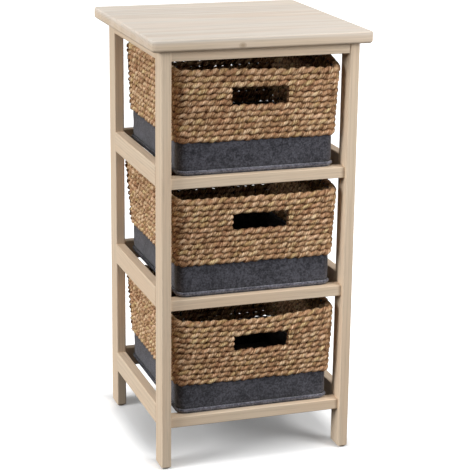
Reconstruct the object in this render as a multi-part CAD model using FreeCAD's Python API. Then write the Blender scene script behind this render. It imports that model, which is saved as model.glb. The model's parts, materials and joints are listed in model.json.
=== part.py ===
import FreeCAD, Part
import math
import os

# Basket drawer unit: an open wooden stand with three rope and felt baskets that slide out like drawers.
# Millimetres. +Z is up and the front faces -Y.
# The origin is on the floor, under the middle of the top board.

# Legs
frame_width = 317.8
frame_depth = 314.0
leg_width = 16.0
leg_depth = 35.0
leg_height = 672.5
leg_edge_radius = 2.0
foot_chamfer = 4.0

# Top board
top_thickness = 18.5
top_side_overhang = 17.8
top_front_overhang = 12.0
top_back_overhang = 31.0
top_upper_edge_radius = 3.0
top_lower_edge_radius = 4.5
top_corner_extra_radius = 1.5

# Levels, one for each basket, spaced evenly up from the lowest rails.
# The uppermost has some height to spare under the aprons.
level_names = ("lower", "middle", "upper")
lowest_level = 67.3
spare_height = 3.1

# Rails between the legs
front_rail_height = 17.4
front_rail_thickness = 22.0
side_rail_height = 33.0
side_rail_thickness = 16.0
back_rail_height = 32.0
back_rail_thickness = 15.5
rail_edge_radius = 1.5

# Aprons under the top board
apron_height = 16.5
apron_thickness = 16.0
apron_setback = 1.5

# Runners that carry the baskets from front rail to back rail, set in from the side of a basket's foot
runner_width = 30.0
runner_thickness = 12.0
runner_inset = 31.0

# Glued dowels in the rail, apron and runner ends
dowel_diameter = 6.0
dowel_length = 20.0
dowel_clearance = 0.1
back_rail_dowel_shares = (0.25, 0.75)
side_rail_dowel_shares = (0.48, 0.82)
single_dowel_shares = (0.5,)

# Countersunk screws that hold the top board on its aprons
screw_bite = 11.0
screw_tip_length = 4.0
screw_diameter = 4.0
screw_head_diameter = 8.0
screw_head_height = 2.6
screw_clearance = 0.1
screw_slot_width = 1.0
screw_slot_length = 4.4
screw_slot_depth = 1.4
side_screw_spacing = 170.0

# Basket: a rope wall that narrows towards the felt band under it and stands proud of that
basket_headroom = 15.2
basket_side_clearance = 7.4
basket_back_clearance = 0.6
basket_running_clearance = 0.3
basket_setback = 8.0
rope_diameter = 10.6
rope_outset = 2.6
rope_rows = 12
weave_taper = 4.5
felt_height = 51.0
felt_ply = 1.4
base_thickness = 4.0

# Hand hole, left out of the rope rows of the basket's front
hand_hole_width = 89.0
hand_hole_rows = 3
rows_over_hand_hole = 3
hand_hole_shift = {"lower": 10.0, "middle": 6.0, "upper": 2.0}

# Rolled hem round the foot of the felt
hem_height = 8.0
hem_thickness = 1.8
hem_clearance = 0.2
hem_edge_share = 0.65

# Wire frame inside the rope and the felt
ring_wire_diameter = 3.6
upright_wire_diameter = 2.8
wire_clearance = 0.3
wire_corner_radius = 8.5
foot_ring_height = 9.0
shoulder_ring_drop = 3.5
corner_upright_inset = 28.0

# One overrun serves every cut that goes right through
cut_overrun = 2.0
parallel_share = 0.99

X = FreeCAD.Vector(1, 0, 0)
Y = FreeCAD.Vector(0, 1, 0)
Z = FreeCAD.Vector(0, 0, 1)

# Planes that the pieces of the stand share
top_width = frame_width + 2 * top_side_overhang
top_depth = frame_depth + top_front_overhang + top_back_overhang
side_face = frame_width / 2
front_face = top_front_overhang - top_depth / 2
back_face = front_face + frame_depth
leg_inner_face = side_face - leg_width
front_leg_back = front_face + leg_depth
back_leg_front = back_face - leg_depth
front_rail_front = front_face + (leg_depth - front_rail_thickness) / 2
front_rail_back = front_rail_front + front_rail_thickness
back_rail_front = back_face - back_rail_thickness
apron_bottom = leg_height - apron_height
level_pitch = (apron_bottom - spare_height - lowest_level) / len(level_names)

# Sizes of a basket, with its wires in the inner half of the rope and between two plies of felt
basket_height = level_pitch - front_rail_height - basket_running_clearance - basket_headroom
row_height = (basket_height - felt_height) / rope_rows
felt_thickness = ring_wire_diameter + 2 * wire_clearance + 2 * felt_ply
hem_outset = felt_thickness / 2 + hem_clearance + hem_thickness
rope_outer_reach = rope_outset + rope_diameter / 2
rope_inner_reach = rope_outset - rope_diameter / 2
wire_rim_side = leg_inner_face - basket_side_clearance - rope_outer_reach
wire_rim_front = front_face + basket_setback + rope_outer_reach
wire_foot_back = back_rail_front - basket_back_clearance - hem_outset
wire_rim_back = wire_foot_back + weave_taper
basket_middle = (wire_rim_front + wire_rim_back) / 2
felt_foot_side = wire_rim_side - weave_taper + felt_thickness / 2
runner_middle = felt_foot_side - runner_inset - runner_width / 2


def level_bottom(level):
    """Height of the underside of a level's rails."""
    return lowest_level + level_pitch * level_names.index(level)


def runner_top(level):
    """Height of the runners and the front rail, on which the basket slides."""
    return level_bottom(level) + front_rail_height


def block(low, high):
    """Box between two corners."""
    return Part.makeBox(high[0] - low[0], high[1] - low[1], high[2] - low[2], FreeCAD.Vector(*low))


def edges_along(shape, axis):
    """Straight edges of a shape that run along an axis."""
    found = []
    for edge in shape.Edges:
        run = edge.Vertexes[-1].Point - edge.Vertexes[0].Point
        if abs(run.dot(axis)) > parallel_share * edge.Length:
            found.append(edge)
    return found


def board(low, high, axis):
    """Rail between two corners, its long edges rounded along an axis."""
    blank = block(low, high)
    return blank.makeFillet(rail_edge_radius, edges_along(blank, axis))


def rounded_rectangle(width, depth, radius, middle, height):
    """Level outline with rounded corners, as one closed wire."""
    straight_x = width / 2 - radius
    straight_y = depth / 2 - radius
    diagonal = radius / math.sqrt(2)
    arcs = []
    for side_x, side_y in ((1, -1), (1, 1), (-1, 1), (-1, -1)):
        centre = FreeCAD.Vector(middle[0] + side_x * straight_x, middle[1] + side_y * straight_y, height)
        ends = [centre + Y * side_y * radius, centre + X * side_x * radius]
        if side_x * side_y > 0:
            ends.reverse()
        halfway = centre + X * side_x * diagonal + Y * side_y * diagonal
        arcs.append((ends[0], halfway, ends[1]))
    edges = []
    for arc, next_arc in zip(arcs, arcs[1:] + arcs[:1]):
        edges.append(Part.Arc(*arc).toShape())
        edges.append(Part.LineSegment(arc[-1], next_arc[0]).toShape())
    return Part.Wire(edges)


def leg(middle_x, middle_y):
    """Post with rounded edges and a chamfered foot."""
    middle = (middle_x, middle_y)
    foot = rounded_rectangle(
        leg_width - 2 * foot_chamfer, leg_depth - 2 * foot_chamfer, leg_edge_radius, middle, 0)
    shoulder = rounded_rectangle(leg_width, leg_depth, leg_edge_radius, middle, foot_chamfer)
    head = rounded_rectangle(leg_width, leg_depth, leg_edge_radius, middle, leg_height)
    return Part.makeLoft([foot, shoulder, head], True, True)


def top_board():
    """Glued panel with rounded corners and edges."""
    corner_radius = max(top_upper_edge_radius, top_lower_edge_radius) + top_corner_extra_radius
    outline = rounded_rectangle(top_width, top_depth, corner_radius, (0, 0), leg_height)
    panel = Part.Face(outline).extrude(Z * top_thickness)
    middle_height = leg_height + top_thickness / 2
    upper_edges = [edge for edge in panel.Edges if edge.BoundBox.ZMin > middle_height]
    panel = panel.makeFillet(top_upper_edge_radius, upper_edges)
    lower_edges = [edge for edge in panel.Edges if edge.BoundBox.ZMax < leg_height + top_lower_edge_radius]
    return panel.makeFillet(top_lower_edge_radius, lower_edges)


def dowel(centre, axis, clearance):
    """Dowel centred on the face between two pieces, or the hole for it with a clearance."""
    start = FreeCAD.Vector(*centre) - axis * (dowel_length / 2)
    return Part.makeCylinder(dowel_diameter / 2 + clearance, dowel_length, start, axis)


def rail_joints():
    """Middle and axis of every dowel between a leg and a rail or apron."""
    joints = []
    front_apron_middle = front_face + apron_setback + apron_thickness / 2
    back_apron_middle = back_face - apron_setback - apron_thickness / 2
    cross_pieces = [
        (front_apron_middle, apron_bottom, apron_height, single_dowel_shares),
        (back_apron_middle, apron_bottom, apron_height, single_dowel_shares)]
    side_pieces = [(apron_bottom, apron_height, apron_thickness, single_dowel_shares)]
    for level in level_names:
        bottom = level_bottom(level)
        front_middle = front_rail_front + front_rail_thickness / 2
        back_middle = back_rail_front + back_rail_thickness / 2
        cross_pieces.append((front_middle, bottom, front_rail_height, single_dowel_shares))
        cross_pieces.append((back_middle, bottom, back_rail_height, back_rail_dowel_shares))
        side_pieces.append((bottom, side_rail_height, side_rail_thickness, side_rail_dowel_shares))
    for side in (-1, 1):
        for middle_y, bottom, height, shares in cross_pieces:
            for share in shares:
                joints.append(((side * leg_inner_face, middle_y, bottom + share * height), X))
        for bottom, height, thickness, shares in side_pieces:
            for end_y in (front_leg_back, back_leg_front):
                for share in shares:
                    middle_x = side * (side_face - thickness / 2)
                    joints.append(((middle_x, end_y, bottom + share * height), Y))
    return joints


def runner_joints():
    """Middle and axis of every dowel between a runner and its front or back rail."""
    joints = []
    for level in level_names:
        for side in (-1, 1):
            for end_y in (front_rail_back, back_rail_front):
                middle_z = runner_top(level) - runner_thickness / 2
                joints.append(((side * runner_middle, end_y, middle_z), Y))
    return joints


def screw_places():
    """Where each screw's head sits on the underside of an apron."""
    side_x = side_face - apron_thickness / 2
    middle_y = (front_face + back_face) / 2
    places = [(0, front_face + apron_setback + apron_thickness / 2, apron_bottom)]
    places.append((0, back_face - apron_setback - apron_thickness / 2, apron_bottom))
    for side in (-1, 1):
        for end in (-1, 1):
            places.append((side * side_x, middle_y + end * side_screw_spacing / 2, apron_bottom))
    return places


def screw_body(place, clearance):
    """Countersunk screw standing on its head, or the hole for it with a clearance."""
    head_radius = screw_head_diameter / 2 + clearance
    shank_radius = screw_diameter / 2 + clearance
    length = apron_height + screw_bite + clearance
    outline = [
        FreeCAD.Vector(0, 0, 0),
        FreeCAD.Vector(head_radius, 0, 0),
        FreeCAD.Vector(shank_radius, 0, screw_head_height),
        FreeCAD.Vector(shank_radius, 0, length - screw_tip_length),
        FreeCAD.Vector(0, 0, length),
        FreeCAD.Vector(0, 0, 0)]
    body = Part.Face(Part.makePolygon(outline)).revolve(FreeCAD.Vector(0, 0, 0), Z, 360)
    body = Part.Solid(body)
    body.translate(FreeCAD.Vector(*place))
    return body


def screw(place):
    """Screw with a cross-shaped recess in its head."""
    body = screw_body(place, 0)
    for length_x, length_y in (
            (screw_slot_length, screw_slot_width), (screw_slot_width, screw_slot_length)):
        low = (place[0] - length_x / 2, place[1] - length_y / 2, place[2] - cut_overrun)
        high = (place[0] + length_x / 2, place[1] + length_y / 2, place[2] + screw_slot_depth)
        body = body.cut(block(low, high))
    return body


def stand_blanks():
    """Every wooden piece of the stand, before its holes are drilled."""
    pieces = {"top_board": top_board()}
    sides = {"left": -1, "right": 1}
    for side_name, side in sides.items():
        outer = side * side_face
        middle_x = side * (side_face - leg_width / 2)
        pieces["front_" + side_name + "_leg"] = leg(middle_x, front_face + leg_depth / 2)
        pieces["rear_" + side_name + "_leg"] = leg(middle_x, back_face - leg_depth / 2)
        apron_faces = sorted((outer, outer - side * apron_thickness))
        pieces[side_name + "_apron"] = board(
            (apron_faces[0], front_leg_back, apron_bottom), (apron_faces[1], back_leg_front, leg_height), Y)
        rail_faces = sorted((outer, outer - side * side_rail_thickness))
        for level in level_names:
            bottom = level_bottom(level)
            pieces[side_name + "_" + level + "_rail"] = board(
                (rail_faces[0], front_leg_back, bottom),
                (rail_faces[1], back_leg_front, bottom + side_rail_height), Y)
            runner_x = side * runner_middle
            pieces[level + "_" + side_name + "_runner"] = board(
                (runner_x - runner_width / 2, front_rail_back, runner_top(level) - runner_thickness),
                (runner_x + runner_width / 2, back_rail_front, runner_top(level)), Y)
    front_apron_front = front_face + apron_setback
    pieces["front_apron"] = board(
        (-leg_inner_face, front_apron_front, apron_bottom),
        (leg_inner_face, front_apron_front + apron_thickness, leg_height), X)
    back_apron_back = back_face - apron_setback
    pieces["back_apron"] = board(
        (-leg_inner_face, back_apron_back - apron_thickness, apron_bottom),
        (leg_inner_face, back_apron_back, leg_height), X)
    for level in level_names:
        bottom = level_bottom(level)
        pieces["front_" + level + "_rail"] = board(
            (-leg_inner_face, front_rail_front, bottom),
            (leg_inner_face, front_rail_back, bottom + front_rail_height), X)
        pieces["back_" + level + "_rail"] = board(
            (-leg_inner_face, back_rail_front, bottom),
            (leg_inner_face, back_face, bottom + back_rail_height), X)
    return pieces


def drill(piece, holes):
    """A piece with every hole that reaches into it."""
    reaching = [hole for hole in holes if hole.BoundBox.intersect(piece.BoundBox)]
    return piece.cut(reaching) if reaching else piece


def stand():
    """The wooden pieces with their holes, and the dowels and screws in them."""
    rail_places = rail_joints()
    runner_places = runner_joints()
    holes = [dowel(centre, axis, dowel_clearance) for centre, axis in rail_places + runner_places]
    holes += [screw_body(place, screw_clearance) for place in screw_places()]
    pieces = {name: drill(blank, holes) for name, blank in stand_blanks().items()}
    pieces["rail_dowels"] = Part.makeCompound([dowel(centre, axis, 0) for centre, axis in rail_places])
    pieces["runner_dowels"] = Part.makeCompound([dowel(centre, axis, 0) for centre, axis in runner_places])
    pieces["top_screws"] = Part.makeCompound([screw(place) for place in screw_places()])
    return pieces


def wire_size(height):
    """Width and depth of the wire frame's centre line at a height above the basket's underside."""
    over_felt = max(height, felt_height) - felt_height
    lean = weave_taper * (1 - over_felt / (basket_height - felt_height))
    return 2 * (wire_rim_side - lean), wire_rim_back - wire_rim_front - 2 * lean


def basket_outline(height, outset, floor):
    """Outline of the basket at a height, a given distance outside the wire's centre line."""
    width, depth = (size + 2 * outset for size in wire_size(height))
    radius = wire_corner_radius + outset
    return rounded_rectangle(width, depth, radius, (0, basket_middle), floor + height)


def basket_wall(low, high, inner_reach, outer_reach, floor):
    """Ring-shaped wall between two heights, reaching from inside to outside the wire's centre line."""
    outer = Part.makeLoft([basket_outline(end, outer_reach, floor) for end in (low, high)], True, True)
    inner = Part.makeLoft([basket_outline(end, inner_reach, floor) for end in (low, high)], True, True)
    return outer.cut(inner)


def wire_ring(height, floor, clearance):
    """Ring of wire that follows the basket's outline at a height."""
    path = basket_outline(height, 0, floor)
    radius = ring_wire_diameter / 2 + clearance
    first_edge = path.Edges[0]
    start = first_edge.valueAt(first_edge.FirstParameter)
    heading = first_edge.tangentAt(first_edge.FirstParameter)
    profile = Part.Wire(Part.Circle(start, heading, radius).toShape())
    return Part.Solid(Part.Shell(path.makePipeShell([profile], False, True).Faces))


def upright_places(hole_shift):
    """Wall and place along it of each upright, with one on each side of the hand hole."""
    foot_x, foot_y = (size / 2 - corner_upright_inset for size in wire_size(foot_ring_height))
    beside_hole = hand_hole_width / 2 + rope_diameter / 2
    places = []
    for along in (-foot_x, hole_shift - beside_hole, hole_shift + beside_hole, foot_x):
        places.append(("front", along))
        places.append(("back", along))
    for along in (-foot_y, 0, foot_y):
        places.append(("left", along))
        places.append(("right", along))
    return places


def upright_point(wall, along, height, floor):
    """Point on an upright's centre line."""
    width, depth = wire_size(height)
    if wall in ("front", "back"):
        side = -1 if wall == "front" else 1
        return FreeCAD.Vector(along, basket_middle + side * depth / 2, floor + height)
    side = -1 if wall == "left" else 1
    return FreeCAD.Vector(side * width / 2, basket_middle + along, floor + height)


def wires(hole_shift, floor, clearance):
    """Rings at the rim, the top of the felt and the foot, with uprights welded between them."""
    rim_ring_height = basket_height - rope_diameter / 2
    ring_heights = (foot_ring_height, felt_height - shoulder_ring_drop, rim_ring_height)
    pieces = [wire_ring(height, floor, clearance) for height in ring_heights]
    for wall, along in upright_places(hole_shift):
        points = [upright_point(wall, along, height, floor) for height in ring_heights]
        for start, end in zip(points, points[1:]):
            run = end - start
            pieces.append(Part.makeCylinder(upright_wire_diameter / 2 + clearance, run.Length, start, run))
    return pieces


def hand_hole(hole_shift, floor):
    """Block that goes through the front wall where rope rows are left out."""
    top = floor + basket_height - rows_over_hand_hole * row_height
    low = (hole_shift - hand_hole_width / 2, front_face - cut_overrun, top - hand_hole_rows * row_height)
    high = (hole_shift + hand_hole_width / 2, basket_middle, top)
    return block(low, high)


def hem_piping(floor):
    """Rounded strip sewn round the foot of the felt."""
    outer = Part.Face(basket_outline(hem_height, hem_outset, floor - hem_height))
    inner = Part.Face(basket_outline(hem_height, hem_outset - hem_thickness, floor - hem_height))
    strip = outer.extrude(Z * hem_height)
    level_edges = [edge for edge in strip.Edges if edge.BoundBox.ZLength < hem_height / 2]
    return strip.makeFillet(hem_thickness * hem_edge_share, level_edges).cut(inner.extrude(Z * hem_height))


def basket(level):
    """The pieces of one basket, standing on its runners."""
    floor = runner_top(level) + basket_running_clearance
    shift = hand_hole_shift[level]
    frame_wires = wires(shift, floor, 0)
    channels = wires(shift, floor, wire_clearance)
    weave = basket_wall(felt_height, basket_height, rope_inner_reach, rope_outer_reach, floor)
    felt = basket_wall(base_thickness, felt_height, -felt_thickness / 2, felt_thickness / 2, floor)
    base = Part.Face(basket_outline(0, felt_thickness / 2, floor)).extrude(Z * base_thickness)
    return {
        level + "_basket_weave": weave.cut(hand_hole(shift, floor)).cut(channels),
        level + "_basket_wire_frame": frame_wires[0].fuse(frame_wires[1:]),
        level + "_basket_felt_band": felt.cut(channels),
        level + "_basket_hem_piping": hem_piping(floor),
        level + "_basket_base": base}


def main():
    os.makedirs("parts", exist_ok=True)
    pieces = stand()
    for level in level_names:
        pieces.update(basket(level))
    for name, shape in pieces.items():
        shape.exportStep("parts/" + name + ".step")


main()
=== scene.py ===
import json
import math
import random

import bpy
import numpy as np
from mathutils import Matrix, Vector

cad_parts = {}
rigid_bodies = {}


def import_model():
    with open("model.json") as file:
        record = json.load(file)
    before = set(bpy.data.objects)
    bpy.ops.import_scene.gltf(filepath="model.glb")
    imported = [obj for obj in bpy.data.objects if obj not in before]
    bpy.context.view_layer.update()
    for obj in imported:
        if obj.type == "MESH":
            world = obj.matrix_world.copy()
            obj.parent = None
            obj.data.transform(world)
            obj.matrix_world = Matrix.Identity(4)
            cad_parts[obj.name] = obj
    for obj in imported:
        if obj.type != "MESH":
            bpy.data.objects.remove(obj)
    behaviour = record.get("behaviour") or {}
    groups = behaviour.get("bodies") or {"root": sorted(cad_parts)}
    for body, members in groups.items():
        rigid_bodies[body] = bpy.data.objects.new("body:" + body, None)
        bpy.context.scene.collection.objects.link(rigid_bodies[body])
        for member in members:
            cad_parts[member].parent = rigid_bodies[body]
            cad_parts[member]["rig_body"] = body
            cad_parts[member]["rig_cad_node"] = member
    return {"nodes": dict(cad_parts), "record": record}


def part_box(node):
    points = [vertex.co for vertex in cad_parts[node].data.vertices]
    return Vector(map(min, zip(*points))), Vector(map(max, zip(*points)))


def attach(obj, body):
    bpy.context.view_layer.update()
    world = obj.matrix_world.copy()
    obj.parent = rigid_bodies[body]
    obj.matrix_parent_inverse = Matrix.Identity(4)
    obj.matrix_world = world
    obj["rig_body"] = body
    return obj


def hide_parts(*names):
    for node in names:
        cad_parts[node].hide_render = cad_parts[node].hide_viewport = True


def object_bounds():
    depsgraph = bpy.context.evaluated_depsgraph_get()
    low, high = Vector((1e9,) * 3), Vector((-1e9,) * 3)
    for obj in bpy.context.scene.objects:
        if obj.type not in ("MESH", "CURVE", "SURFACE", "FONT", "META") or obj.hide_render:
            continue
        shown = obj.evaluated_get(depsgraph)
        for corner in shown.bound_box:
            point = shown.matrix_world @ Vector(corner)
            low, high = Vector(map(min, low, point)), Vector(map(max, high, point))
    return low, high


bl_info = {
    "name": "Basket Drawer Unit",
    "version": (1, 0, 0),
    "blender": (4, 5, 0),
    "location": "3D View > Sidebar > Basket Unit",
    "description": "Dresses a wooden stand and its three rope and felt baskets",
    "category": "Object",
}

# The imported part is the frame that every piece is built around, in metres
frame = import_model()
cad_low, cad_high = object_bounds()

LEVELS = ("lower", "middle", "upper")
WOOD_ENDINGS = ("_board", "_leg", "_rail", "_apron", "_runner")
WOODEN_NODES = [node for node in frame["nodes"] if node.endswith(WOOD_ENDINGS)]

# Points closer than this are one point
POINT_GAP = 1e-6

# Edges longer than this are cut up where a piece has to bend
LONG_EDGE = 0.02


# Settings


class WoodSettings(bpy.types.PropertyGroup):
    """Colours and grain of the stand."""

    early_colour: bpy.props.FloatVectorProperty(
        name="Early wood", description="Pale part of a growth ring",
        subtype="COLOR", min=0, max=1, default=(0.72, 0.585, 0.44))
    late_colour: bpy.props.FloatVectorProperty(
        name="Late wood", description="Darker line at the end of a growth ring",
        subtype="COLOR", min=0, max=1, default=(0.54, 0.41, 0.29))
    # Painted light: the top board's upper face is painted in this paler colour
    painted_top_colour: bpy.props.FloatVectorProperty(
        name="Top board", description="Pale part of the top board's growth rings",
        subtype="COLOR", min=0, max=1, default=(0.77, 0.70, 0.62))
    knot_colour: bpy.props.FloatVectorProperty(
        name="Knot", description="Heart of a small knot",
        subtype="COLOR", min=0, max=1, default=(0.25, 0.16, 0.08))
    dowel_colour: bpy.props.FloatVectorProperty(
        name="Dowel", description="Pale part of the dowels' rings",
        subtype="COLOR", min=0, max=1, default=(0.52, 0.36, 0.20))
    ring_spacing: bpy.props.FloatProperty(
        name="Ring spacing", description="Distance between growth rings", unit="LENGTH", default=0.0046)
    stave_width: bpy.props.FloatProperty(
        name="Stave width", description="Width of the strips glued into the top board",
        unit="LENGTH", default=0.062)


class RopeSettings(bpy.types.PropertyGroup):
    """Sizes and colours of the rope that the baskets are woven from."""

    diameter: bpy.props.FloatProperty(
        name="Rope diameter", description="Across both plies", unit="LENGTH", default=0.0122)
    ply_diameter: bpy.props.FloatProperty(
        name="Ply diameter", description="Across one of the two plies", unit="LENGTH", default=0.0084)
    wall_thickness: bpy.props.FloatProperty(
        name="Wall thickness", description="Of the plain wall that the rope takes the place of",
        unit="LENGTH", default=0.0106)
    shoulder: bpy.props.FloatProperty(
        name="Shoulder", description="How far that wall stands out from the felt",
        unit="LENGTH", default=0.0044)
    rows: bpy.props.IntProperty(
        name="Rows", description="Rope rows from the felt to the rim", default=12)
    turns: bpy.props.IntProperty(
        name="Turns", description="Turns of the rope in one row round the basket", default=35)
    hand_hole_row: bpy.props.IntProperty(
        name="Hand hole row", description="Lowest row that the hand hole interrupts, counted from zero",
        default=6)
    hand_hole_rows: bpy.props.IntProperty(
        name="Hand hole rows", description="Rows that the hand hole interrupts", default=3)
    hand_hole_width: bpy.props.FloatProperty(
        name="Hand hole width", description="Gap between the rope ends", unit="LENGTH", default=0.089)
    corner_radius: bpy.props.FloatProperty(
        name="Corner radius", description="Of the middle of the rope round a corner",
        unit="LENGTH", default=0.0111)
    lump_depth: bpy.props.FloatProperty(
        name="Lumps", description="How unevenly thick the plies are", unit="LENGTH", default=0.0026)
    uneven_twist: bpy.props.FloatProperty(
        name="Uneven twist", description="How far the turns of the rope bunch up along a row",
        unit="LENGTH", default=0.0090)
    wander_depth: bpy.props.FloatProperty(
        name="Wander", description="How far a row strays up and down", unit="LENGTH", default=0.0036)
    dark_colour: bpy.props.FloatVectorProperty(
        name="Dark fibre", description="Brown strands",
        subtype="COLOR", min=0, max=1, default=(0.19, 0.095, 0.042))
    warm_colour: bpy.props.FloatVectorProperty(
        name="Warm fibre", description="Common colour",
        subtype="COLOR", min=0, max=1, default=(0.51, 0.300, 0.155))
    pale_colour: bpy.props.FloatVectorProperty(
        name="Pale fibre", description="Straw strands",
        subtype="COLOR", min=0, max=1, default=(0.89, 0.66, 0.43))


class FeltSettings(bpy.types.PropertyGroup):
    """Sizes and colours of the felt round the foot of a basket."""

    thickness: bpy.props.FloatProperty(
        name="Felt thickness", description="Both plies with the wire between", unit="LENGTH", default=0.0070)
    corner_radius: bpy.props.FloatProperty(
        name="Corner radius", description="Of the felt's outside", unit="LENGTH", default=0.0160)
    wave_depth: bpy.props.FloatProperty(
        name="Waves", description="Depth of the soft waves in the felt", unit="LENGTH", default=0.0022)
    crease_depth: bpy.props.FloatProperty(
        name="Crease", description="How far the seam over the hem draws the felt in",
        unit="LENGTH", default=0.0016)
    dark_colour: bpy.props.FloatVectorProperty(
        name="Dark fibre", description="Ground of the felt",
        subtype="COLOR", min=0, max=1, default=(0.022, 0.022, 0.028))
    light_colour: bpy.props.FloatVectorProperty(
        name="Light fibre", description="Flecks in the felt",
        subtype="COLOR", min=0, max=1, default=(0.105, 0.104, 0.125))


class StageSettings(bpy.types.PropertyGroup):
    """Floor, lights and camera."""

    camera_place: bpy.props.FloatVectorProperty(
        name="Camera place", description="Where the camera stands", subtype="TRANSLATION",
        default=(-0.8178, -2.4640, 1.0858))
    camera_yaw: bpy.props.FloatProperty(
        name="Camera yaw", description="Turn to the right of straight ahead", subtype="ANGLE",
        default=math.radians(18.69))
    camera_pitch: bpy.props.FloatProperty(
        name="Camera pitch", description="Tilt down from level", subtype="ANGLE", default=math.radians(16.21))
    camera_roll: bpy.props.FloatProperty(
        name="Camera roll", description="Turn about the line of sight", subtype="ANGLE",
        default=math.radians(0.68))
    camera_lens: bpy.props.FloatProperty(
        name="Lens", description="Focal length", unit="CAMERA", default=124.9)
    floor_colour: bpy.props.FloatVectorProperty(
        name="Floor", description="Colour of the floor that the camera sees",
        subtype="COLOR", min=0, max=1, default=(0.86, 0.86, 0.86))
    floor_lift: bpy.props.FloatProperty(
        name="Floor lift", description="Glow that brings the open floor up to white for the camera",
        default=0.62)
    # The floor's glow dies away round the unit's outline, a painted shadow under it
    floor_fade: bpy.props.FloatProperty(
        name="Floor fade", description="How far round the unit's outline the glow dies away",
        unit="LENGTH", default=0.05)
    bounce_colour: bpy.props.FloatVectorProperty(
        name="Floor bounce", description="Colour of the floor for the light that it throws back",
        subtype="COLOR", min=0, max=1, default=(0.08, 0.08, 0.08))
    left_heading: bpy.props.FloatVectorProperty(
        name="Left heading", description="From the unit to the left light", subtype="DIRECTION",
        default=(-0.93, -0.16, 0.33))
    left_strength: bpy.props.FloatProperty(
        name="Left light", description="Strength of the broad light at the left", default=2.85)
    left_spread: bpy.props.FloatProperty(
        name="Left spread", description="Angle that the left light fills", subtype="ANGLE",
        default=math.radians(26))
    top_heading: bpy.props.FloatVectorProperty(
        name="Overhead heading", description="From the unit to the overhead light", subtype="DIRECTION",
        default=(-0.20, -0.20, 0.96))
    top_strength: bpy.props.FloatProperty(
        name="Overhead light", description="Strength of the broad light overhead", default=0.98)
    top_spread: bpy.props.FloatProperty(
        name="Overhead spread", description="Angle that the overhead light fills", subtype="ANGLE",
        default=math.radians(44))
    back_heading: bpy.props.FloatVectorProperty(
        name="Back heading", description="From the unit to the light behind it", subtype="DIRECTION",
        default=(0.45, 0.85, 0.28))
    back_strength: bpy.props.FloatProperty(
        name="Back light", description="Strength of the broad light behind the unit", default=1.20)
    back_spread: bpy.props.FloatProperty(
        name="Back spread", description="Angle that the light behind the unit fills", subtype="ANGLE",
        default=math.radians(60))
    right_place: bpy.props.FloatVectorProperty(
        name="Right place", description="Where the soft box at the front right stands", subtype="TRANSLATION",
        default=(1.20, -1.40, 1.20))
    right_size: bpy.props.FloatProperty(
        name="Right size", description="Side of the square soft box", unit="LENGTH", default=0.9)
    right_power: bpy.props.FloatProperty(
        name="Right light", description="Power of the soft box at the front right",
        unit="POWER", default=28.5)
    sky_strength: bpy.props.FloatProperty(
        name="Sky", description="Strength of the light all round", default=0.08)


class BasketUnitSettings(bpy.types.PropertyGroup):
    """All settings of the basket drawer unit."""

    wood: bpy.props.PointerProperty(
        name="Wood", description="Colours and grain of the stand", type=WoodSettings)
    rope: bpy.props.PointerProperty(
        name="Rope", description="Sizes and colours of the rope", type=RopeSettings)
    felt: bpy.props.PointerProperty(
        name="Felt", description="Sizes and colours of the felt", type=FeltSettings)
    stage: bpy.props.PointerProperty(
        name="Stage", description="Floor, lights and camera", type=StageSettings)


# Modelling helpers


def deselect_all():
    bpy.ops.object.select_all(action="DESELECT")


def activate(*pieces):
    """Select only these pieces and make the first one active."""
    deselect_all()
    for piece in pieces:
        piece.select_set(True)
    bpy.context.view_layer.objects.active = pieces[0]


def apply_modifier(piece, kind, **settings):
    """Add one modifier to a piece and apply it."""
    activate(piece)
    modifier = piece.modifiers.new(kind.title(), kind)
    for name, value in settings.items():
        setattr(modifier, name, value)
    bpy.ops.object.modifier_apply(modifier=modifier.name)


def copy_piece(piece, name):
    """A copy of a piece with a mesh of its own."""
    twin = piece.copy()
    twin.data = piece.data.copy()
    twin.name = name
    bpy.context.scene.collection.objects.link(twin)
    return twin


def remove_piece(piece):
    """Delete a helper object and its data."""
    data = piece.data
    bpy.data.objects.remove(piece)
    kind = bpy.data.meshes if isinstance(data, bpy.types.Mesh) else bpy.data.curves
    kind.remove(data)


def edit_all(*steps):
    """Run operators in edit mode with the whole mesh of the active piece selected."""
    bpy.ops.object.mode_set(mode="EDIT")
    bpy.ops.mesh.select_all(action="SELECT")
    for step in steps:
        step()
    bpy.ops.object.mode_set(mode="OBJECT")


def close_and_face_out(piece, distance):
    """Merge doubled points and turn all faces outwards."""
    activate(piece)
    edit_all(lambda: bpy.ops.mesh.remove_doubles(threshold=distance),
             lambda: bpy.ops.mesh.normals_make_consistent(inside=False))


def cut_long_edges(piece, cuts):
    """Cut up the long edges of the active piece, and stay in edit mode."""
    bpy.ops.object.mode_set(mode="EDIT")
    bpy.ops.mesh.select_mode(type="EDGE")
    bpy.ops.mesh.select_all(action="DESELECT")
    bpy.ops.object.mode_set(mode="OBJECT")
    points = points_of(piece.data)
    for edge in piece.data.edges:
        first, second = edge.vertices
        edge.select = bool(np.linalg.norm(points[first] - points[second]) > LONG_EDGE)
    bpy.ops.object.mode_set(mode="EDIT")
    bpy.ops.mesh.subdivide(number_cuts=cuts)


def points_of(mesh):
    """The points of a mesh as an array of rows."""
    flat = np.zeros(len(mesh.vertices) * 3)
    mesh.vertices.foreach_get("co", flat)
    return flat.reshape(-1, 3)


def set_points(mesh, points):
    """Move the points of a mesh."""
    mesh.vertices.foreach_set("co", points.ravel())
    mesh.update()


def noise_field(name, size, depth=2):
    """A cloud texture for Displace modifiers."""
    field = bpy.data.textures.new(name, "CLOUDS")
    field.noise_scale = size
    field.noise_depth = depth
    return field


# Material helpers


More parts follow.
